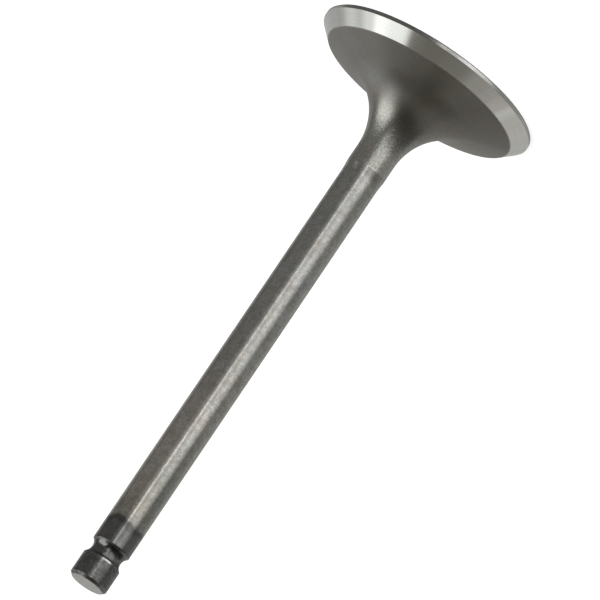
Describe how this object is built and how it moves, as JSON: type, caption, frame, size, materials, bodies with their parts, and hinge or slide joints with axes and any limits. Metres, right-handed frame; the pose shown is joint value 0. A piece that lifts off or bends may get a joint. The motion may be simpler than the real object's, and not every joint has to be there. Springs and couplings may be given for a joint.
{
  "type": "engine valve",
  "caption": "Poppet valve: flat-faced round head with a conical seat, swept neck, long ground stem, and a round keeper groove near the chamfered tip.",
  "frame": {"origin": "centre of the flat combustion face, on which the valve stands", "axes": "+Z along the stem from the head to the tip; the valve is a body of revolution, so +X and +Y are free"},
  "size_m": [0.0468, 0.0468, 0.1211],
  "materials": {
    "valve_steel": "ground stem and seat, matt blasted back of the head, darkened tip"
  },
  "bodies": {
    "root": {"valve": "valve_steel"}
  },
  "joints": []
}
